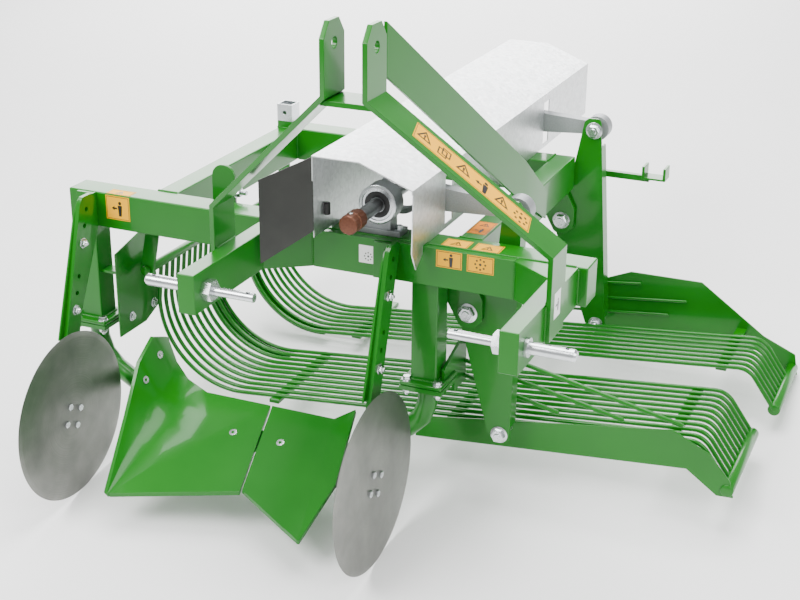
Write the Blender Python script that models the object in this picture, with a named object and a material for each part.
"""Single-row potato digger for a category II three-point hitch.

Its two shaken sieves throw to one side. Everything is first built in the machine's own frame, in
millimetres: X runs along the beams towards the discharge side, Y runs to the rear, Z is up, and the origin
lies midway between the lower hitch pins, at the front of the arms. The last step leans the whole machine
back until its discs and its rear sieve touch the floor, as it parks, and puts the origin at the middle of
its footprint.
"""

import math

import bmesh
import bpy
import numpy as np
from mathutils import Matrix

MM = 0.001
GAP = 0.3  # between pieces that touch
PIN_GAP = 0.3  # around a pin, on the radius
RUN = 3.0  # side clearance of what turns

# ---- main frame -------------------------------------------------------------------------------
BEAM_HEIGHT = 98.0
BEAM_DEPTH = 80.0
BEAM_LEFT = -1005.0
BEAM_RIGHT = 436.0
BEAM_FRONT = 420.0
SIDE_BEAM_WIDTH = 60.0
LEFT_BEAM_X = -776.0
RIGHT_BEAM_X = 85.0
REAR_BEAM_FRONT = 1190.0

# ---- three-point hitch ------------------------------------------------------------------------
ARM_SPREAD = 825.0  # over the outer faces of the lower arms
ARM_WIDTH = 45.0
MITRE_START = 325.0
MITRE_RUN = 103.0
FRONT_PLATE = 23.0
LOWER_PIN_Y = 48.0
OUTER_PIN_D = 28.0
INNER_PIN_D = 22.0
OUTER_PIN_LENGTH = 108.0
INNER_PIN_LENGTH = 105.0
PIN_NUT_FLATS = 46.0
PIN_NUT_HEIGHT = 24.0
LINCH_HOLE_D = 11.0
MAST_GAP = 86.0
MAST_THICK = 12.0
MAST_WIDE = 100.0
MAST_TOP_Z = 650.0
MAST_HOLE_Z = 600.0
MAST_HOLE_D = 25.5
MAST_FRONT = 25.0
MAST_UPPER_BEND_Z = 490.0
MAST_LOWER_BEND_Z = 152.0
MAST_FOOT_FRONT = 175.0
MAST_FOOT_Z = -42.0
MAST_CORNER = 26.0
TIE_PLATE = 12.0
TIE_Z = 472.0
STAY_THICK = 8.0
STAY_WIDE = 118.0
STAY_TOP_Z = 644.0
STAY_END_Y = 985.0

# ---- coulter discs ----------------------------------------------------------------------------
DISC_R = 229.0
DISC_THICK = 5.0
DISC_BEVEL = 12.0
DISC_Y = 187.0
DISC_Z = -500.0
LEFT_DISC_X = -880.0
RIGHT_DISC_X = -2.0
DISC_HUB_R = 44.0
DISC_HUB_LENGTH = 20.0
DISC_BOLT_CIRCLE = 33.0
AXLE_D = 25.0
DISC_ARM_THICK = 12.0
DISC_ARM_TOP_WIDE = 66.0
DISC_ARM_TOP_Z = 42.0
CLAMP_DEPTH = 118.0
CLAMP_THICK = 6.0

# ---- share and its legs -----------------------------------------------------------------------
SHARE_THICK = 10.0
SHARE_SLOPE = math.radians(27.0)
SHARE_BACK_Y = 412.0
SHARE_BACK_Z = -474.0
SHARE_FRONT_Y = 82.0
SHARE_LEFT_X = -712.0
SHARE_TIP_X = -160.0
SHARE_SEAM_BACK_X = -403.0
SHARE_SEAM_FRONT_X = -352.0
SHARE_NOTCH_Y = 168.0
SHARE_SEAM_GAP = 5.0
LEG_SIDE = 70.0
LEG_Y = 460.0
LEFT_LEG_X = -968.0
RIGHT_LEG_X = 26.0
LEG_FLANGE_Z = -322.0
FLANGE_THICK = 12.0
FLANGE_MARGIN = 22.0
LEG_TUBE_D = 52.0

# ---- drive ------------------------------------------------------------------------------------
DRIVE_X = -105.0
DRIVE_Z = 125.0
PTO_FRONT_Y = 262.0
PTO_CAP_LENGTH = 62.0
SHAFT_D = 35.0
SHAFT_END_Y = 1390.0
HOUSING_R = 50.0
HOUSING_WIDE = 46.0
STROKE = 18.0  # of a sieve, each side of its middle
STRAP_BORE_R = SHAFT_D / 2 + STROKE + 9.0
STRAP_WALL = 12.0
CONROD_WIDE = 34.0
CONROD_BEHIND = 18.0  # from the lever's plate to the rod's eye

# ---- levers -----------------------------------------------------------------------------------
LEVER_X = 112.0
LEVER_Z = -150.0
LEVER_GAP_Y = 15.0  # from the beam's rear face to the lever
LEVER_THICK = 6.0
LEVER_FLANGE = 44.0
LEVER_PIN_D = 24.0
LEVER_TOP = (92.0, 273.0)
LEVER_FOOT = (105.0, -324.0)
PHASE = math.radians(2.65)  # each lever stands this far off its middle, one each way
CONROD_EYE_R = 36.0
CONROD_EYE_WIDE = 40.0
FOOT_PIN_D = 20.0
LUG_THICK = 11.0

# ---- sieves -----------------------------------------------------------------------------------
ROD_D = 12.0
ROD_PITCH = 31.0
FRONT_RODS = 11
REAR_RODS = 8
ROD_SIDES = 6
SIDE_PLATE_THICK = 5.0
SIDE_PLATE_GAP = 60.0  # from the lever's front to the sieve's side plate
RAIL_D = 26.0
RAIL_PLAY = 1.2  # round the rail in its hanger, on the radius
RAIL = (-828.0, -195.0)
ARC_CENTRE = (-600.0, -312.0)
ARC_R = 240.0
SIEVE_SLOPE = math.radians(5.6)
SIEVE_BEND_X = 716.0
SIEVE_END = (795.0, -534.0)
END_TUBE_D = 34.0
REAR_GUARD_D = 9.0
REAR_GUARD_X = 60.0
HANGER_PIVOT = (-815.0, -60.0)
HANGER_WIDE = 40.0
HANGER_THICK = 8.0
HANGER_PIN_D = 20.0
GUIDE_PLATE_X = -884.0
GUARD_ROD_D = 12.0
STAND_TUBE = 50.0

# ---- drive cover ------------------------------------------------------------------------------
COVER_THICK = 3.0
COVER_LEFT = -229.0
COVER_RIDGE = -104.0
COVER_RIGHT = 33.0
COVER_TOP = 262.0
COVER_EAVE = 210.0
COVER_END_Y = 1740.0
COVER_FRONT_Y = 430.0
SHROUD_FRONT_Y = 326.0

# ---- derived ----------------------------------------------------------------------------------
HALF = BEAM_HEIGHT / 2
BEAM_BACK = BEAM_FRONT + BEAM_DEPTH
REAR_BEAM_BACK = REAR_BEAM_FRONT + BEAM_DEPTH
ARM_OUT = ARM_SPREAD / 2
ARM_IN = ARM_OUT - ARM_WIDTH
FRONT_LEVER_Y = BEAM_BACK + LEVER_GAP_Y
REAR_LEVER_Y = REAR_BEAM_BACK + LEVER_GAP_Y
FRONT_PLATE_Y = FRONT_LEVER_Y + SIDE_PLATE_GAP
REAR_PLATE_Y = REAR_LEVER_Y + SIDE_PLATE_GAP


# ---- small kit --------------------------------------------------------------------------------
def finished(work, name):
    """The object made from a bmesh, which is freed."""
    bmesh.ops.recalc_face_normals(work, faces=work.faces)
    mesh = bpy.data.meshes.new(name)
    work.to_mesh(mesh)
    work.free()
    item = bpy.data.objects.new(name, mesh)
    bpy.context.scene.collection.objects.link(item)
    return item


def loft(name, rings):
    """A closed skin over rings of equally many points, with a cap at each end."""
    work = bmesh.new()
    loops = [[work.verts.new(point) for point in ring] for ring in rings]
    work.faces.new(loops[0])
    work.faces.new(loops[-1])
    for low, high in zip(loops, loops[1:]):
        for i in range(len(low)):
            work.faces.new((low[i - 1], low[i], high[i], high[i - 1]))
    return finished(work, name)


def box(x0, x1, y0, y1, z0, z1):
    """A block between two opposite corners."""
    low = np.minimum((x0, y0, z0), (x1, y1, z1))
    high = np.maximum((x0, y0, z0), (x1, y1, z1))
    work = bmesh.new()
    place = Matrix.Translation((low + high) / 2) @ Matrix.Diagonal([*(high - low), 1])
    bmesh.ops.create_cube(work, size=1, matrix=place)
    return finished(work, "box")


def extruded(outline, push):
    """A closed outline of points in space, extruded along a vector."""
    work = bmesh.new()
    face = work.faces.new([work.verts.new(point) for point in outline])
    moved = bmesh.ops.extrude_face_region(work, geom=[face])["geom"]
    tips = [part for part in moved if isinstance(part, bmesh.types.BMVert)]
    bmesh.ops.translate(work, vec=push, verts=tips)
    return finished(work, "plate")


def plate_xz(points, y0, y1):
    """A flat plate with its outline in X and Z."""
    return extruded([(x, y0, z) for x, z in points], (0, y1 - y0, 0))


def plate_yz(points, x0, x1):
    """A flat plate with its outline in Y and Z."""
    return extruded([(x0, y, z) for y, z in points], (x1 - x0, 0, 0))


def plate_xy(points, z0, z1):
    """A flat plate with its outline in X and Y."""
    return extruded([(x, y, z0) for x, y in points], (0, 0, z1 - z0))


def frame_of(direction):
    """Two unit vectors square to a direction and to each other."""
    along = np.array(direction, float)
    along = along / np.linalg.norm(along)
    helper = np.array([0.0, 0.0, 1.0])
    if abs(along[2]) > 0.9:
        helper = np.array([1.0, 0.0, 0.0])
    side = np.cross(helper, along)
    side = side / np.linalg.norm(side)
    return side, np.cross(along, side)


def rod(start, end, diameter, sides=16, end_diameter=None):
    """A round bar, or a cone, between two points."""
    a = np.array(start, float)
    b = np.array(end, float)
    u, v = frame_of(b - a)
    length = np.linalg.norm(b - a)
    place = Matrix.Identity(4)
    for column, vector in enumerate((u, v, (b - a) / length, (a + b) / 2)):
        for row in range(3):
            place[row][column] = vector[row]
    half_step = Matrix.Rotation(math.pi / sides, 4, "Z")
    work = bmesh.new()
    bmesh.ops.create_cone(
        work,
        cap_ends=True,
        segments=sides,
        radius1=diameter / 2,
        radius2=(end_diameter or diameter) / 2,
        depth=length,
        matrix=place @ half_step,
    )
    return finished(work, "rod")


def hexagon(start, end, flats):
    return rod(start, end, flats / math.cos(math.pi / 6), 6)


def pipe(points, diameter, sides=ROD_SIDES):
    """A round bar bent along points, with mitred corners."""
    path = [np.array(p, float) for p in points]
    rings = []
    side = None
    for i, here in enumerate(path):
        before = path[max(i - 1, 0)]
        after = path[min(i + 1, len(path) - 1)]
        into = here - before if i else after - here
        out = after - here if i < len(path) - 1 else into
        into = into / np.linalg.norm(into)
        out = out / np.linalg.norm(out)
        along = into + out
        along = along / np.linalg.norm(along)
        if side is None:
            side, _ = frame_of(along)
        side = side - along * side.dot(along)
        side = side / np.linalg.norm(side)
        up = np.cross(along, side)
        bend = np.cross(into, out)
        stretch = 1 / max(along.dot(out), 0.5)
        ring = []
        for k in range(sides):
            angle = 2 * math.pi * (k + 0.5) / sides
            offset = math.cos(angle) * side + math.sin(angle) * up
            if np.linalg.norm(bend) > 1e-6:
                axis = bend / np.linalg.norm(bend)
                across = np.cross(axis, along)
                offset = offset + (stretch - 1) * offset.dot(across) * across
            ring.append(here + diameter / 2 * offset)
        rings.append(ring)
    return loft("pipe", rings)


def combine(name, adds, cuts=()):
    """One solid: the first shape with the other adds joined to it and the cuts taken out."""
    base = adds[0]
    for other, operation in [(o, "UNION") for o in adds[1:]] + [(o, "DIFFERENCE") for o in cuts]:
        step = base.modifiers.new("step", "BOOLEAN")
        step.operation = operation
        step.object = other
    graph = bpy.context.evaluated_depsgraph_get()
    mesh = bpy.data.meshes.new_from_object(base.evaluated_get(graph))
    for used in list(adds) + list(cuts):
        bpy.data.objects.remove(used)
    item = bpy.data.objects.new(name, mesh)
    bpy.context.scene.collection.objects.link(item)
    return item


def single(name, shape):
    shape.name = name
    shape.data.name = name
    return shape


def turned(point, angle, centre):
    """A point in X and Z, turned about the Y axis through a centre."""
    x = point[0] - centre[0]
    z = point[1] - centre[1]
    return (
        centre[0] + x * math.cos(angle) + z * math.sin(angle),
        centre[1] - x * math.sin(angle) + z * math.cos(angle),
    )


def rounded(points, radius_of, steps=5):
    """An outline in which each corner named in radius_of becomes an arc."""
    result = []
    count = len(points)
    for i, point in enumerate(points):
        radius = radius_of.get(i, 0.0)
        if radius <= 0:
            result.append(point)
            continue
        here = np.array(point, float)
        a = np.array(points[i - 1], float) - here
        b = np.array(points[(i + 1) % count], float) - here
        a = a / np.linalg.norm(a)
        b = b / np.linalg.norm(b)
        half = math.acos(max(-1.0, min(1.0, a.dot(b)))) / 2
        reach = radius / math.tan(half)
        middle = here + (a + b) / np.linalg.norm(a + b) * radius / math.sin(half)
        first = here + a * reach - middle
        last = here + b * reach - middle
        for k in range(steps + 1):
            t = k / steps
            way = first * (1 - t) + last * t
            way = way / np.linalg.norm(way) * radius
            result.append(tuple(middle + way))
    return result


# ---- frame ------------------------------------------------------------------------------------
def build_frame():
    single("front_beam", box(BEAM_LEFT, BEAM_RIGHT, BEAM_FRONT, BEAM_BACK, -HALF, HALF))
    start = BEAM_BACK + GAP
    for name, x in (("left_side_beam", LEFT_BEAM_X), ("right_side_beam", RIGHT_BEAM_X)):
        single(name, box(x, x + SIDE_BEAM_WIDTH, start, REAR_BEAM_BACK, -HALF, HALF))
    left = LEFT_BEAM_X + SIDE_BEAM_WIDTH + GAP
    single("rear_beam", box(left, RIGHT_BEAM_X - GAP, REAR_BEAM_FRONT, REAR_BEAM_BACK, -HALF, HALF))


def build_hitch():
    plate_front = BEAM_FRONT - FRONT_PLATE
    inner_end = ARM_IN - MITRE_RUN
    single(
        "hitch_front_plate",
        box(-inner_end + GAP, inner_end - GAP, plate_front, BEAM_FRONT - GAP, -HALF, HALF),
    )
    for name, side in (("hitch_left_arm", -1), ("hitch_right_arm", 1)):
        outline = [
            (side * ARM_OUT, 0.0),
            (side * ARM_IN, 0.0),
            (side * ARM_IN, MITRE_START),
            (side * inner_end, plate_front),
            (side * inner_end, BEAM_FRONT - GAP),
            (side * ARM_OUT, BEAM_FRONT - GAP),
        ]
        bore = rod(
            (side * (ARM_IN - 5), LOWER_PIN_Y, 0),
            (side * (ARM_OUT + 5), LOWER_PIN_Y, 0),
            OUTER_PIN_D + 2 * PIN_GAP,
            20,
        )
        combine(name, [plate_xy(outline, -HALF, HALF)], [bore])
    for name, side in (("lower_pin_left", -1), ("lower_pin_right", 1)):
        y = LOWER_PIN_Y
        nut = side * (ARM_IN - GAP)
        collar = side * (ARM_OUT + GAP)
        shapes = [
            rod((nut, y, 0), (side * (ARM_OUT + OUTER_PIN_LENGTH), y, 0), OUTER_PIN_D, 20),
            rod(
                (side * (ARM_OUT + OUTER_PIN_LENGTH - 1), y, 0),
                (side * (ARM_OUT + OUTER_PIN_LENGTH + 5), y, 0),
                OUTER_PIN_D,
                20,
                OUTER_PIN_D - 8,
            ),
            rod((collar, y, 0), (collar + side * 9, y, 0), OUTER_PIN_D + 16, 20),
            hexagon((nut, y, 0), (nut - side * PIN_NUT_HEIGHT, y, 0), PIN_NUT_FLATS),
            rod(
                (nut - side * (PIN_NUT_HEIGHT - 1), y, 0),
                (nut - side * (PIN_NUT_HEIGHT + INNER_PIN_LENGTH), y, 0),
                INNER_PIN_D,
                16,
            ),
        ]
        inner_hole = nut - side * (PIN_NUT_HEIGHT + INNER_PIN_LENGTH - 16)
        outer_hole = side * (ARM_OUT + OUTER_PIN_LENGTH - 16)
        holes = [
            rod((x, y, -40), (x, y, 40), LINCH_HOLE_D, 10) for x in (inner_hole, outer_hole)
        ]
        combine(name, shapes, holes)


def mast_path():
    """Inner face of a mast bar, from its top to its foot, as x, z and the y of its front edge."""
    foot_x = ARM_OUT + GAP
    return [
        (MAST_GAP / 2, MAST_TOP_Z, MAST_FRONT),
        (MAST_GAP / 2, MAST_UPPER_BEND_Z, MAST_FRONT),
        (foot_x, MAST_LOWER_BEND_Z, MAST_FOOT_FRONT),
        (foot_x, MAST_FOOT_Z, MAST_FOOT_FRONT),
    ]


def build_mast():
    path = mast_path()
    slope = np.array([path[2][0] - path[1][0], path[2][1] - path[1][1]])
    slope = slope / np.linalg.norm(slope)
    normal = np.array([-slope[1], slope[0]])
    flat = np.array([1.0, 0.0])
    corner = MAST_THICK / (1 + normal.dot(flat)) * (normal + flat)
    offsets = [flat * MAST_THICK, corner, corner, flat * MAST_THICK]
    for name, side in (("mast_left_bar", -1), ("mast_right_bar", 1)):
        rings = []
        for (x, z, y), offset in zip(path, offsets):
            back = y + MAST_WIDE
            outer = (side * (x + offset[0]), z + offset[1])
            rings.append(
                [
                    (side * x, y, z),
                    (outer[0], y, outer[1]),
                    (outer[0], back, outer[1]),
                    (side * x, back, z),
                ]
            )
        low = side * (MAST_GAP / 2 - 10)
        high = side * (MAST_GAP / 2 + MAST_THICK + 10)
        middle = MAST_FRONT + MAST_WIDE / 2
        cuts = [rod((low, middle, MAST_HOLE_Z), (high, middle, MAST_HOLE_Z), MAST_HOLE_D, 24)]
        for edge, way in ((MAST_FRONT, 1), (MAST_FRONT + MAST_WIDE, -1)):
            triangle = [
                (edge - way * 5, MAST_TOP_Z + 5),
                (edge - way * 5, MAST_TOP_Z - MAST_CORNER * 1.3),
                (edge, MAST_TOP_Z - MAST_CORNER * 1.3),
                (edge + way * MAST_CORNER, MAST_TOP_Z),
                (edge + way * MAST_CORNER, MAST_TOP_Z + 5),
            ]
            cuts.append(plate_yz(triangle, min(low, high), max(low, high)))
        combine(name, [loft(name, rings)], cuts)
    tie_outline = []
    for side, z in ((-1, TIE_Z), (1, TIE_Z), (1, TIE_Z + TIE_PLATE), (-1, TIE_Z + TIE_PLATE)):
        widening = (MAST_UPPER_BEND_Z - z) * (path[2][0] - path[1][0]) / (path[1][1] - path[2][1])
        tie_outline.append((side * (MAST_GAP / 2 + widening - 1.5 * GAP), z))
    single("mast_tie_plate", plate_xz(tie_outline, MAST_FRONT + 12, MAST_FRONT + MAST_WIDE))


def build_stay():
    """The flat stay from the mast's rear edge to the outer side of the right beam."""
    y0 = MAST_FRONT + MAST_WIDE + GAP
    x0 = MAST_GAP / 2 + MAST_THICK
    beam_side = RIGHT_BEAM_X + SIDE_BEAM_WIDTH + GAP
    slope = (STAY_TOP_Z - HALF) / (STAY_END_Y - 25 - y0)
    y1 = y0 + (STAY_TOP_Z - STAY_WIDE - HALF - 6) / slope
    rings = []
    stations = ((x0 - STAY_THICK, y0, None), (beam_side, y1, None), (beam_side, STAY_END_Y, -HALF))
    for x, y, low_limit in stations:
        top = STAY_TOP_Z - slope * (y - y0)
        low = top - STAY_WIDE
        if low_limit is not None:
            low = low_limit
        rings.append([(x, y, low), (x + STAY_THICK, y, low), (x + STAY_THICK, y, top), (x, y, top)])
    single("mast_stay", loft("mast_stay", rings))


# ---- coulter discs ----------------------------------------------------------------------------
def build_disc(side, x, carrier_front):
    """A flat coulter disc on its hub, and the leaning arm and clamp that carry it."""
    y = DISC_Y
    z = DISC_Z
    face = x + DISC_THICK / 2
    back = x - DISC_THICK / 2
    rings = []
    rim = DISC_R - DISC_BEVEL
    for at, radius in ((back, rim), (x - 0.8, DISC_R), (x + 0.8, DISC_R), (face, rim)):
        ring = []
        for i in range(56):
            angle = 2 * math.pi * i / 56
            ring.append((at, y + radius * math.cos(angle), z + radius * math.sin(angle)))
        rings.append(ring)
    hub_end = back - DISC_HUB_LENGTH
    shapes = [loft("disc", rings), rod((back + 1, y, z), (hub_end, y, z), 2 * DISC_HUB_R, 24)]
    for i in range(4):
        angle = math.pi / 2 * i + 0.35
        by = y + DISC_BOLT_CIRCLE * math.cos(angle)
        bz = z + DISC_BOLT_CIRCLE * math.sin(angle)
        shapes.append(hexagon((face - 1, by, bz), (face + 7, by, bz), 17))
    bore = rod((hub_end - 5, y, z), (back - 1, y, z), AXLE_D + 2 * PIN_GAP, 16)
    combine(f"{side}_disc", shapes, [bore])

    arm_right = hub_end - RUN
    arm_left = arm_right - DISC_ARM_THICK
    top_y = BEAM_FRONT - CLAMP_DEPTH / 2
    lean = (top_y - y) / (DISC_ARM_TOP_Z - z)
    half = DISC_ARM_TOP_WIDE / 2
    foot = DISC_ARM_TOP_WIDE / 2 * 0.8
    outline = [
        (top_y - half, DISC_ARM_TOP_Z),
        (y - foot, z - 20),
        (y - foot * 0.5, z - 36),
        (y + foot * 0.5, z - 36),
        (y + foot, z - 20),
        (top_y + half, DISC_ARM_TOP_Z),
        (top_y + half * 0.6, DISC_ARM_TOP_Z + 16),
        (top_y - half * 0.6, DISC_ARM_TOP_Z + 16),
    ]
    shapes = [
        plate_yz(outline, arm_left, arm_right),
        rod((arm_left - 2, y, z), (back - 2, y, z), AXLE_D, 16),
        hexagon((arm_left + 1, y, z), (arm_left - 26, y, z), 38),
    ]
    holes = []
    for drop in (20.0, 62.0, 190.0, 232.0):
        at = DISC_ARM_TOP_Z - drop
        centre = top_y - lean * drop
        holes.append(rod((arm_left - 5, centre, at), (arm_right + 5, centre, at), 14, 10))
    combine(f"{side}_disc_arm", shapes, holes)

    clamp_right = arm_left - GAP
    clamp_left = clamp_right - CLAMP_THICK
    back_y = carrier_front - GAP
    low = -300.0
    low_y = top_y - lean * (DISC_ARM_TOP_Z - low)
    side_plate = [
        (back_y, HALF),
        (back_y, -HALF),
        (low_y + half + 12, low),
        (low_y - half - 8, low),
        (top_y - half - 8, HALF - 30),
        (top_y - half + 12, HALF),
    ]
    shapes = [plate_yz(side_plate, clamp_left, clamp_right)]
    shapes.append(box(clamp_left - 50, clamp_right, back_y - 10, back_y, -HALF + 2, HALF - 2))
    combine(f"{side}_disc_clamp", shapes)


# ---- share ------------------------------------------------------------------------------------
def share_z(y):
    return SHARE_BACK_Z - (SHARE_BACK_Y - y) * math.tan(SHARE_SLOPE)


def build_share():
    """Two share plates with a slot between them; the outer edges turn up into wings."""
    t = SHARE_THICK / math.cos(SHARE_SLOPE)
    wing = [
        (SHARE_FRONT_Y, 2.0, 0.0),
        (SHARE_FRONT_Y + 118, 116.0, 6.0),
        (SHARE_FRONT_Y + 190, 196.0, 10.0),
        (SHARE_FRONT_Y + 262, 204.0, 10.0),
        (SHARE_BACK_Y, 142.0, 4.0),
    ]
    rings = []
    for y, height, splay in wing:
        z = share_z(y)
        seam = SHARE_SEAM_FRONT_X + (SHARE_SEAM_BACK_X - SHARE_SEAM_FRONT_X) * (
            (y - SHARE_FRONT_Y) / (SHARE_BACK_Y - SHARE_FRONT_Y)
        )
        seam = seam - SHARE_SEAM_GAP / 2
        left = SHARE_LEFT_X - splay * 0.3
        reach = max(height, 6.0) * 0.55
        top = [
            (left, y, z + height),
            (left + reach * 0.30, y, z + height * 0.52),
            (left + reach * 0.72, y, z + height * 0.20),
            (left + reach * 1.45, y, z),
            (seam, y, z),
        ]
        under = [
            (seam, y, z - t),
            (left + reach * 1.35, y, z - t),
            (left + reach * 0.45, y, z + height * 0.20 - t * 0.8),
            (left - 2, y, z + height * 0.50 - t * 0.5),
            (left - SHARE_THICK, y, z + height),
        ]
        rings.append(top + under)
    notch = [
        (SHARE_LEFT_X + 30, SHARE_FRONT_Y - 30),
        (SHARE_SEAM_FRONT_X + 40, SHARE_FRONT_Y - 30),
        (SHARE_SEAM_FRONT_X + 40, SHARE_NOTCH_Y + 22),
        (SHARE_SEAM_FRONT_X - 15, SHARE_NOTCH_Y),
        (SHARE_LEFT_X + 2, SHARE_FRONT_Y + 2),
    ]
    combine("share_left_plate", [loft("share", rings)], [plate_xy(notch, -900, -300)])

    rings = []
    for y, height, right in (
        (SHARE_FRONT_Y, 2.0, SHARE_TIP_X + 8),
        (SHARE_FRONT_Y + 146, 16.0, SHARE_TIP_X + 34),
        (SHARE_BACK_Y - 60, 34.0, SHARE_TIP_X + 14),
        (SHARE_BACK_Y, 40.0, SHARE_TIP_X + 4),
    ):
        z = share_z(y)
        seam = SHARE_SEAM_FRONT_X + (SHARE_SEAM_BACK_X - SHARE_SEAM_FRONT_X) * (
            (y - SHARE_FRONT_Y) / (SHARE_BACK_Y - SHARE_FRONT_Y)
        )
        seam = seam + SHARE_SEAM_GAP / 2
        fold = right - 62.0
        rings.append(
            [
                (seam, y, z),
                (fold, y, z),
                (right, y, z + height),
                (right + 2, y, z + height - t),
                (fold + 3, y, z - t),
                (seam, y, z - t),
            ]
        )
    tip = [
        (SHARE_SEAM_FRONT_X - 60, SHARE_FRONT_Y - 30),
        (SHARE_TIP_X - 3, SHARE_FRONT_Y - 30),
        (SHARE_TIP_X - 3, SHARE_FRONT_Y + 1),
        (SHARE_SEAM_FRONT_X - 60, SHARE_NOTCH_Y + 28),
    ]
    corner = [
        (SHARE_TIP_X - 1, SHARE_FRONT_Y - 30),
        (SHARE_TIP_X + 90, SHARE_FRONT_Y - 30),
        (SHARE_TIP_X + 90, SHARE_FRONT_Y + 260),
        (SHARE_TIP_X + 34, SHARE_FRONT_Y + 146),
    ]
    cuts = [plate_xy(tip, -900, -300), plate_xy(corner, -900, -300)]
    combine("share_right_plate", [loft("share", rings)], cuts)


def build_legs():
    """A square leg under the beam on each side, a bolted flange, and the bent tube down to the share bar."""
    bar_y0 = SHARE_BACK_Y - 112
    bar_y1 = SHARE_BACK_Y - 62
    under = SHARE_THICK / math.cos(SHARE_SLOPE) + GAP * 1.3
    bar_left = SHARE_LEFT_X + 120
    bar_right = SHARE_TIP_X - 62
    lower = [
        (bar_y0, share_z(bar_y0) - under),
        (bar_y1, share_z(bar_y1) - under),
        (bar_y1 + 9, share_z(bar_y1) - under - 20),
        (bar_y0 + 9, share_z(bar_y0) - under - 20),
    ]
    bar = plate_yz(lower, bar_left, bar_right)
    centre_y = (bar_y0 + bar_y1) / 2 + 6
    centre_z = share_z(centre_y) - under - (LEG_TUBE_D / 2 + 1) / math.cos(SHARE_SLOPE)
    half = LEG_SIDE / 2
    shapes = [bar]
    for side, x in (("left", LEFT_LEG_X), ("right", RIGHT_LEG_X)):
        way = 1 if side == "left" else -1
        leg = box(x - half, x + half, LEG_Y - half, LEG_Y + half, LEG_FLANGE_Z, -HALF - GAP)
        edge = half + FLANGE_MARGIN
        low = LEG_FLANGE_Z - FLANGE_THICK
        flange = box(x - edge, x + edge, LEG_Y - edge, LEG_Y + edge, low, LEG_FLANGE_Z)
        combine(f"{side}_share_leg", [leg, flange])
        top = LEG_FLANGE_Z - FLANGE_THICK - GAP
        shapes.append(box(x - edge, x + edge, LEG_Y - edge, LEG_Y + edge, top - FLANGE_THICK, top))
        bar_end = bar_left if side == "left" else bar_right
        points = [(x, LEG_Y, top - 2), (x, LEG_Y, top - 58)]
        for along, forward, down in ((16, 0, 106), (52, 2, 142), (104, 6, 168), (160, 18, 188)):
            points.append((x + way * along, LEG_Y - forward, top - down))
        points.append((bar_end - way * 60, (LEG_Y + centre_y) / 2 - 12, centre_z - 2))
        points.append((bar_end + way * 16, centre_y, centre_z))
        shapes.append(pipe(points, LEG_TUBE_D, 12))
    combine("share_carrier", shapes)


# ---- drive ------------------------------------------------------------------------------------
def build_drive():
    axis = (DRIVE_X, DRIVE_Z)

    def at(y):
        return (axis[0], y, axis[1])

    shapes = [
        rod(at(PTO_FRONT_Y + 4), at(SHAFT_END_Y), SHAFT_D, 20),
        rod(at(PTO_FRONT_Y), at(PTO_FRONT_Y + PTO_CAP_LENGTH), SHAFT_D + 14, 20),
    ]
    combine("pto_shaft", shapes)
    for name, y0, foot_y0, foot_y1 in (
        ("front_bearing", BEAM_FRONT + 14, BEAM_FRONT + 8, BEAM_BACK - 20),
        ("rear_bearing", REAR_BEAM_FRONT + 17, REAR_BEAM_FRONT + 10, REAR_BEAM_BACK - 10),
    ):
        shapes = [
            rod(at(y0), at(y0 + HOUSING_WIDE), 2 * HOUSING_R, 28),
            box(DRIVE_X - 62, DRIVE_X + 62, foot_y0, foot_y1, HALF + GAP, HALF + 14),
            box(DRIVE_X - 34, DRIVE_X + 34, y0 + 2, y0 + HOUSING_WIDE - 2, HALF + GAP, DRIVE_Z),
        ]
        bore = rod(at(y0 - 5), at(y0 + HOUSING_WIDE + 5), SHAFT_D + 2 * PIN_GAP, 20)
        combine(name, shapes, [bore])


def lever_angle(which):
    return PHASE if which == "front" else -PHASE


def lever_point(which, local):
    """A point of a lever, given from its pivot in the middle position, where it stands at rest."""
    return turned((LEVER_X + local[0], LEVER_Z + local[1]), lever_angle(which), (LEVER_X, LEVER_Z))


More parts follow.
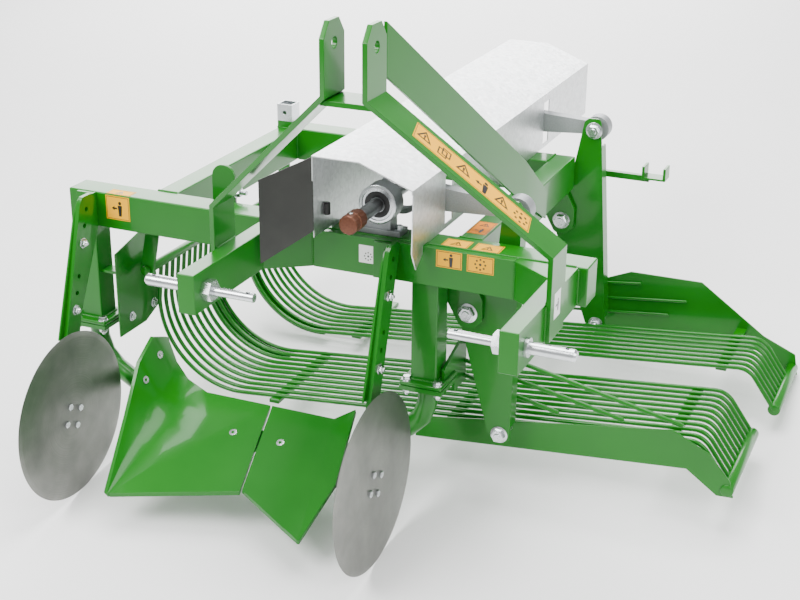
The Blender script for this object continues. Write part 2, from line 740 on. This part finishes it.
def build_lever(which, y):
    """The tapered lever with its folded edge, its lug on the beam, and the connecting rod at its top."""

    def place(x, z):
        return lever_point(which, (x, z))

    pivot = place(0, 0)
    top = place(*LEVER_TOP)
    foot = place(*LEVER_FOOT)
    outline = [
        (66, 308),
        (112, 308),
        (132, -300),
        (132, -336),
        (96, -352),
        (72, -322),
        (-26, -26),
        (-22, 18),
    ]
    if which == "front":
        outline += [(18, 74), (60, 98), (62, 206)]
    else:
        outline.append((30, 150))
    outline = rounded(outline, {0: 20, 1: 14, 4: 18, 6: 22})
    points = [place(*p) for p in outline]
    plate = plate_xz(points, y, y + LEVER_THICK)
    edge_top = LEVER_TOP[1] - CONROD_EYE_R - 12
    edge = [(115 - LEVER_THICK, edge_top), (115, edge_top), (132, -300), (132 - LEVER_THICK, -300)]
    flange = plate_xz([place(*p) for p in edge], y + 1, y + LEVER_FLANGE)
    boss = rod((pivot[0], y + 1, pivot[1]), (pivot[0], y + 34, pivot[1]), LEVER_PIN_D + 22, 20)
    pin_end = y + LEVER_THICK + CONROD_BEHIND + CONROD_EYE_WIDE + 4
    pin = rod((top[0], y - 12, top[1]), (top[0], pin_end, top[1]), FOOT_PIN_D, 16)
    head = hexagon((top[0], y + 1, top[1]), (top[0], y - 13, top[1]), 30)
    bores = [
        rod((pivot[0], y - 5, pivot[1]), (pivot[0], y + 40, pivot[1]), LEVER_PIN_D + 2 * PIN_GAP, 20),
        rod((foot[0], y - 5, foot[1]), (foot[0], y + 20, foot[1]), FOOT_PIN_D + 2 * PIN_GAP, 16),
    ]
    combine(f"{which}_lever", [plate, flange, boss, pin, head], bores)

    beam_back = y - LEVER_GAP_Y
    lug_front = beam_back + GAP
    lug_back = lug_front + LUG_THICK
    lug_top = -HALF - GAP
    outline = [(52, lug_top), (118, lug_top), (150, -112), (150, -168), (128, -190), (92, -190), (52, -120)]
    outline = rounded(outline, {3: 14, 4: 14, 5: 14})
    lug = plate_xz(outline, lug_front, lug_back)
    stem_right = RIGHT_BEAM_X - GAP if which == "front" else 118
    stem = box(54, stem_right, lug_front, lug_back, lug_top - 10, HALF - 6)
    pivot_pin = rod(
        (pivot[0], lug_front + 2, pivot[1]), (pivot[0], y + 46, pivot[1]), LEVER_PIN_D, 20
    )
    washer = hexagon((pivot[0], y + 36, pivot[1]), (pivot[0], y + 50, pivot[1]), 36)
    head = hexagon((pivot[0], lug_front + 2, pivot[1]), (pivot[0], lug_front - 12, pivot[1]), 36)
    combine(f"{which}_lever_lug", [lug, stem, pivot_pin, washer, head])

    eye_y0 = y + LEVER_THICK + CONROD_BEHIND
    eye_y1 = eye_y0 + CONROD_EYE_WIDE
    far = (DRIVE_X + top[0] - LEVER_X - LEVER_TOP[0], DRIVE_Z)
    middle = (eye_y0 + eye_y1) / 2
    direction = np.array([far[0] - top[0], far[1] - top[1]])
    length = np.linalg.norm(direction)
    direction = direction / length
    across = np.array([-direction[1], direction[0]])
    strap_r = STRAP_BORE_R + STRAP_WALL
    near_end = np.array(top) + direction * (CONROD_EYE_R - 8)
    far_end = np.array(far) - direction * (strap_r - 6)
    outline = [
        tuple(near_end + across * 19),
        tuple(far_end + across * 34),
        tuple(far_end - across * 34),
        tuple(near_end - across * 19),
    ]
    half = CONROD_WIDE / 2
    shapes = [
        plate_xz(outline, middle - half, middle + half),
        rod((top[0], eye_y0, top[1]), (top[0], eye_y1, top[1]), 2 * CONROD_EYE_R, 24),
        rod((far[0], middle - half, far[1]), (far[0], middle + half, far[1]), 2 * strap_r, 32),
    ]
    cuts = [
        rod((top[0], eye_y0 - 5, top[1]), (top[0], eye_y1 + 5, top[1]), FOOT_PIN_D + 2 * PIN_GAP, 16),
        rod((far[0], middle - 40, far[1]), (far[0], middle + 40, far[1]), 2 * STRAP_BORE_R, 28),
    ]
    combine(f"{which}_conrod", shapes, cuts)


# ---- sieves -----------------------------------------------------------------------------------
def sieve_shift(which):
    foot = lever_point(which, LEVER_FOOT)
    middle = (LEVER_X + LEVER_FOOT[0], LEVER_Z + LEVER_FOOT[1])
    return (foot[0] - middle[0], foot[1] - middle[1])


def straight_z(x):
    """Height of the rods' centres on their straight part, in the middle position."""
    tangent_x = ARC_CENTRE[0] + ARC_R * math.sin(SIEVE_SLOPE)
    tangent_z = ARC_CENTRE[1] - ARC_R * math.cos(SIEVE_SLOPE)
    return tangent_z + (x - tangent_x) * math.tan(SIEVE_SLOPE)


def rod_path():
    """The rods' shape in X and Z: rail, rolled arc, long straight, and the drop to the end tube."""
    points = [RAIL]
    steps = 9
    for k in range(steps + 1):
        angle = math.pi + (math.pi / 2 + SIEVE_SLOPE) * k / steps
        points.append((ARC_CENTRE[0] + ARC_R * math.cos(angle), ARC_CENTRE[1] + ARC_R * math.sin(angle)))
    points.append((SIEVE_BEND_X, straight_z(SIEVE_BEND_X)))
    points.append(SIEVE_END)
    return points


def guard_span(dz):
    """Lower and upper end of the strap that ties the rear guard rods together."""
    base = straight_z(REAR_GUARD_X) + dz
    return base + 14, base + 118


def build_sieve(which, plate_y, first_rod, count):
    dx, dz = sieve_shift(which)
    path = [(x + dx, z + dz) for x, z in rod_path()]
    rail = (RAIL[0] + dx, RAIL[1] + dz)
    end = (SIEVE_END[0] + dx, SIEVE_END[1] + dz)
    last_rod = first_rod + (count - 1) * ROD_PITCH
    low_y = min(first_rod, plate_y) - 8
    high_y = max(last_rod, plate_y + SIDE_PLATE_THICK) + 8
    shapes = []
    for i in range(count):
        y = first_rod + i * ROD_PITCH
        shapes.append(pipe([(x, y, z) for x, z in path], ROD_D))
    shapes.append(rod((end[0], low_y, end[1]), (end[0], high_y, end[1]), END_TUBE_D, 16))
    hanger_y = HANGER_Y[which]
    rail_low = min(low_y, hanger_y - 14)
    rail_high = max(high_y, hanger_y + HANGER_THICK + 14)
    shapes.append(rod((rail[0], rail_low, rail[1]), (rail[0], rail_high, rail[1]), RAIL_D, 16))
    for x in (-470.0, 60.0, 640.0):
        z = straight_z(x) + dz - ROD_D / 2 - 4
        shapes.append(box(x + dx - 15, x + dx + 15, low_y + 9, high_y - 9, z - 4, z + 7))
    if which == "front":
        top = [(-40, -4), (433, 22), (648, 34), (744, -20), (800, -84)]
    else:
        top = [(200, 120), (300, 152), (512, 132), (706, -24), (800, -66)]
    plate = []
    for x, up in top:
        base = straight_z(min(x, SIEVE_BEND_X))
        plate.append((x + dx, base + up + dz))
    bottom = [(812, SIEVE_END[1] - 18), (770, SIEVE_END[1] - 20), (690, straight_z(690) - 70)]
    start_x = top[0][0]
    bottom.append((start_x, straight_z(start_x) - 64))
    plate = plate + [(x + dx, z + dz) for x, z in bottom]
    shapes.append(plate_xz(plate, plate_y, plate_y + SIDE_PLATE_THICK))
    if which == "rear":
        rod_y = plate_y - REAR_GUARD_D / 2 + 0.5
        for start_up, end_x, end_up in ((112, 330, 118), (66, 470, 70), (22, 420, 24)):
            start = (REAR_GUARD_X + dx, rod_y, straight_z(REAR_GUARD_X) + start_up + dz)
            end = (end_x + dx, rod_y, straight_z(end_x) + end_up + dz)
            shapes.append(rod(start, end, REAR_GUARD_D, 8))
        shapes.append(box(REAR_GUARD_X + dx, REAR_GUARD_X + 20 + dx, rod_y, rod_y + 5, *guard_span(dz)))
    foot = lever_point(which, LEVER_FOOT)
    lever_y = FRONT_LEVER_Y if which == "front" else REAR_LEVER_Y
    shapes.append(rod((foot[0], lever_y - 10, foot[1]), (foot[0], plate_y + 2, foot[1]), FOOT_PIN_D, 16))
    shapes.append(hexagon((foot[0], lever_y - GAP, foot[1]), (foot[0], lever_y - 13, foot[1]), 30))
    shapes.append(rod((foot[0], lever_y + LEVER_THICK + 2, foot[1]), (foot[0], plate_y + 2, foot[1]), 34, 16))
    combine(f"{which}_sieve", shapes)


def build_hanger(which):
    """A short hanger on the left of a sieve, from a lug on the side beam to the sieve's rail."""
    dx, dz = sieve_shift(which)
    rail = (RAIL[0] + dx, RAIL[1] + dz)
    y = HANGER_Y[which]
    a = np.array(HANGER_PIVOT)
    b = np.array(rail)
    along = (b - a) / np.linalg.norm(b - a)
    across = np.array([-along[1], along[0]])
    half = HANGER_WIDE / 2
    outline = [
        tuple(a - along * half + across * half),
        tuple(a - along * half - across * half),
        tuple(b + along * half - across * half),
        tuple(b + along * half + across * half),
    ]
    outline = rounded(outline, {0: 16, 1: 16, 2: 16, 3: 16})
    bores = [
        rod((a[0], y - 5, a[1]), (a[0], y + 20, a[1]), HANGER_PIN_D + 2 * PIN_GAP, 16),
        rod((b[0], y - 5, b[1]), (b[0], y + 20, b[1]), RAIL_D + 2 * RAIL_PLAY, 16),
    ]
    combine(f"{which}_hanger", [plate_xz(outline, y, y + HANGER_THICK)], bores)
    lug_y0 = y - RUN - 10
    lug_y1 = y - RUN
    beam = LEFT_BEAM_X - GAP
    outline = [
        (beam, -HALF + 4),
        (beam, HALF - 20),
        (beam - 26, HALF - 26),
        (a[0] - 24, a[1] + 20),
        (a[0] - 24, a[1] - 24),
        (a[0] + 20, a[1] - 24),
    ]
    outline = rounded(outline, {3: 12, 4: 12, 5: 10})
    shapes = [
        plate_xz(outline, lug_y0, lug_y1),
        rod((a[0], lug_y0 + 1, a[1]), (a[0], y + HANGER_THICK + 14, a[1]), HANGER_PIN_D, 16),
        hexagon((a[0], y + HANGER_THICK + RUN, a[1]), (a[0], y + HANGER_THICK + 15, a[1]), 30),
    ]
    combine(f"{which}_hanger_lug", shapes)


# ---- covers and brackets ----------------------------------------------------------------------
def shell_outline(inset, floor):
    left = COVER_LEFT + inset
    right = COVER_RIGHT - inset
    top = COVER_TOP - inset
    eave = COVER_EAVE - inset * 0.8
    return [(left, floor), (left, top), (COVER_RIDGE - inset * 0.3, top), (right, eave), (right, floor)]


def build_cover():
    """The galvanised cover over the drive, open below, with an opening for each connecting rod."""
    floor = HALF + GAP
    outer = plate_xz(shell_outline(0, floor), COVER_FRONT_Y, COVER_END_Y)
    inner = plate_xz(shell_outline(COVER_THICK, floor - 20), COVER_FRONT_Y - 20, COVER_END_Y + 20)
    cuts = [inner]
    for y in (FRONT_LEVER_Y, REAR_LEVER_Y):
        middle = y + LEVER_THICK + CONROD_BEHIND + CONROD_EYE_WIDE / 2
        half = CONROD_WIDE / 2 + 7
        cuts.append(box(COVER_RIGHT - 20, COVER_RIGHT + 20, middle - half, middle + half, 62, 186))
    combine("drive_cover", [outer], cuts)

    low = HALF + 150
    front = SHROUD_FRONT_Y
    back = COVER_FRONT_Y - GAP
    outer = plate_xz(shell_outline(0, low), front, back)
    inner = plate_xz(shell_outline(COVER_THICK, low - 20), front - 20, back + 20)
    canopy = combine("canopy", [outer], [inner])
    clear = BEAM_FRONT - FRONT_PLATE - 4
    right = [
        (front + 6, COVER_EAVE - 4),
        (back, COVER_EAVE - 4),
        (back, HALF + 4),
        (clear, HALF + 4),
        (clear, HALF - 16),
        (front + 26, 4),
        (front, 52),
    ]
    right_flap = plate_yz(right, COVER_RIGHT - COVER_THICK, COVER_RIGHT)
    left = [(back, COVER_TOP - 3), (back, HALF + 6), (front + 4, HALF + 6), (front + 4, COVER_TOP - 3)]
    left_side = plate_yz(left, COVER_LEFT, COVER_LEFT + COVER_THICK)
    hinge = (COVER_LEFT + COVER_THICK, front + 6)
    tip = (COVER_LEFT - 118, front - 46)
    rings = []
    for (x, y), z0, z1 in ((hinge, HALF + 24, COVER_TOP - 2), (tip, -14, 200.0)):
        rings.append([(x, y, z0), (x, y - COVER_THICK - 1, z0), (x, y - COVER_THICK - 1, z1), (x, y, z1)])
    flap = loft("flap", rings)
    combine("front_shroud", [canopy, right_flap, left_side, flap])


def build_guards():
    """Guide plate on the left, guard rods over the front sieve's open side, and the small brackets."""
    outline = [(432, -128), (596, -92), (640, -340), (560, -372), (432, -372)]
    shapes = [
        plate_yz(outline, GUIDE_PLATE_X, GUIDE_PLATE_X + 5),
        box(LEFT_LEG_X + LEG_SIDE / 2 + GAP, GUIDE_PLATE_X + 2, LEG_Y - 20, LEG_Y + 20, -190, -182),
    ]
    combine("left_guide_plate", shapes)

    left = RIGHT_LEG_X + LEG_SIDE / 2 + 5
    guard_y = FRONT_PLATE_Y + SIDE_PLATE_THICK + 12
    foot = LEG_FLANGE_Z + GAP
    back = LEG_Y + LEG_SIDE / 2 + FLANGE_MARGIN + 3
    outline = [
        (LEG_Y - 12, foot),
        (back, foot),
        (back, foot - 62),
        (guard_y + 10, foot - 62),
        (guard_y + 10, foot + 64),
        (guard_y - 34, foot + 64),
        (LEG_Y - 12, foot + 30),
    ]
    shapes = [plate_yz(outline, left, left + 8)]
    for start_z, end_x, end_z in ((-270, 651, -392), (-324, 500, -408), (-366, 330, -424)):
        start = (left + 4, guard_y, start_z)
        shapes.append(rod(start, (end_x, guard_y, end_z), GUARD_ROD_D, 8))
    combine("front_guard_rods", shapes)

    post_y = REAR_BEAM_BACK - STAND_TUBE - 42
    x0 = LEFT_BEAM_X
    x1 = x0 + STAND_TUBE
    foot = HALF + GAP
    single("left_stand_post", box(x0, x1, post_y, post_y + STAND_TUBE, foot, foot + 22))
    low = foot + 22 + GAP
    tube = box(x0, x1, post_y, post_y + STAND_TUBE, low, low + 52)
    hollow = box(x0 + 4, x1 - 4, post_y + 4, post_y + STAND_TUBE - 4, low - 5, low + 60)
    pin_hole = rod((x0 + 25, post_y - 5, low + 26), (x0 + 25, post_y + 60, low + 26), 13, 12)
    combine("left_stand_tube", [tube], [hollow, pin_hole])

    y = REAR_BEAM_BACK + GAP
    z = -42.0
    shapes = [
        box(6, 50, y, y + 8, z - 6, z + 80),
        box(20, 38, y, y + 118, z + 10, z + 28),
        box(20, 340, y + 100, y + 118, z + 10, z + 28),
        box(322, 392, y + 82, y + 132, z + 22, z + 28),
        box(322, 330, y + 82, y + 132, z + 22, z + 60),
        box(384, 392, y + 82, y + 132, z + 22, z + 60),
    ]
    combine("right_lamp_bracket", shapes)


HANGER_Y = {"front": BEAM_BACK + 24.0, "rear": REAR_BEAM_BACK + 12.0}


# ---- finishes ---------------------------------------------------------------------------------
FINISHES = {
    "green_enamel": ("1F8A2E", 0.28, 0.0),
    "galvanised_sheet": ("B4B6B8", 0.42, 1.0),
    "blade_steel": ("6F716F", 0.45, 1.0),
    "zinc_plate": ("C9CACB", 0.30, 1.0),
    "oiled_steel": ("5A4A42", 0.50, 0.8),
}
BARE = {
    "drive_cover": "galvanised_sheet",
    "left_stand_tube": "zinc_plate",
    "left_disc": "blade_steel",
    "right_disc": "blade_steel",
    "lower_pin_left": "zinc_plate",
    "lower_pin_right": "zinc_plate",
    "front_conrod": "galvanised_sheet",
    "rear_conrod": "galvanised_sheet",
    "front_shroud": "galvanised_sheet",
    "pto_shaft": "oiled_steel",
}


def linear(value):
    """One sRGB channel, 0 to 1, as the linear value that a shader takes."""
    if value <= 0.04045:
        return value / 12.92
    return ((value + 0.055) / 1.055) ** 2.4


def make_finishes():
    for name, (code, rough, metal) in FINISHES.items():
        finish = bpy.data.materials.new(name)
        finish.use_nodes = True
        shader = finish.node_tree.nodes["Principled BSDF"]
        colour = [linear(int(code[i : i + 2], 16) / 255) for i in (0, 2, 4)]
        shader.inputs["Base Color"].default_value = (*colour, 1)
        shader.inputs["Roughness"].default_value = rough
        shader.inputs["Metallic"].default_value = metal


# ---- park it ----------------------------------------------------------------------------------
def joint_points():
    """Where each moving piece turns, in the machine's frame: its object gets its origin there."""
    drive_end = (DRIVE_X, PTO_FRONT_Y, DRIVE_Z)
    points = {
        "left_disc": (LEFT_DISC_X, DISC_Y, DISC_Z),
        "right_disc": (RIGHT_DISC_X, DISC_Y, DISC_Z),
        "pto_shaft": drive_end,
    }
    for which, y in (("front", FRONT_LEVER_Y), ("rear", REAR_LEVER_Y)):
        top = lever_point(which, LEVER_TOP)
        foot = lever_point(which, LEVER_FOOT)
        points[f"{which}_lever"] = (LEVER_X, y, LEVER_Z)
        points[f"{which}_conrod"] = (top[0], y, top[1])
        points[f"{which}_sieve"] = (foot[0], y, foot[1])
        points[f"{which}_hanger"] = (HANGER_PIVOT[0], HANGER_Y[which], HANGER_PIVOT[1])
    return points


def park():
    """Stands the machine on the floor: leant back about X until the discs and the rear sieve both touch it.

    Every piece hangs on one empty, which does the leaning, so the pieces keep the machine's own frame.
    """
    items = [item for item in bpy.context.scene.collection.objects if item.type == "MESH"]
    points = {}
    for item in items:
        co = np.empty(len(item.data.vertices) * 3, np.float64)
        item.data.vertices.foreach_get("co", co)
        points[item.name] = co.reshape(-1, 3)
    discs = np.concatenate([points["left_disc"], points["right_disc"]])
    rear = points["rear_sieve"]

    def lowest(cloud, angle):
        return (cloud[:, 2] * math.cos(angle) - cloud[:, 1] * math.sin(angle)).min()

    low = 0.0
    high = math.radians(40)
    for _ in range(60):
        angle = (low + high) / 2
        if lowest(rear, angle) > lowest(discs, angle):
            low = angle
        else:
            high = angle
    lean = Matrix.Rotation(-angle, 3, "X")
    every = np.concatenate([cloud @ np.array(lean).T for cloud in points.values()])
    middle = (every.min(axis=0) + every.max(axis=0)) / 2
    base = np.array([middle[0], middle[1], every[:, 2].min()])
    machine = bpy.data.objects.new("machine", None)
    machine.rotation_euler = (-angle, 0, 0)
    machine.location = -base * MM
    bpy.context.scene.collection.objects.link(machine)
    origins = joint_points()
    for item in items:
        origin = np.array(origins.get(item.name, (0.0, 0.0, 0.0)))
        item.data.vertices.foreach_set("co", ((points[item.name] - origin) * MM).ravel())
        item.location = origin * MM
        item.parent = machine
        item.data.shade_smooth()
        item.data.set_sharp_from_angle(angle=math.radians(35))
        item.data.materials.clear()
        item.data.materials.append(bpy.data.materials[BARE.get(item.name, "green_enamel")])
    print("lean back, degrees:", round(math.degrees(angle), 4), "base:", [round(v, 3) for v in base])


def main():
    for item in list(bpy.data.objects):
        bpy.data.objects.remove(item)
    make_finishes()
    build_frame()
    build_hitch()
    build_mast()
    build_stay()
    build_disc("left", LEFT_DISC_X, BEAM_FRONT)
    build_disc("right", RIGHT_DISC_X, BEAM_FRONT - FRONT_PLATE)
    build_share()
    build_legs()
    build_drive()
    build_lever("front", FRONT_LEVER_Y)
    build_lever("rear", REAR_LEVER_Y)
    front_first = FRONT_PLATE_Y + 22
    build_sieve("front", FRONT_PLATE_Y, front_first, FRONT_RODS)
    rear_last = REAR_LEVER_Y - 16
    build_sieve("rear", REAR_PLATE_Y, rear_last - (REAR_RODS - 1) * ROD_PITCH, REAR_RODS)
    build_hanger("front")
    build_hanger("rear")
    build_cover()
    build_guards()
    park()


main()
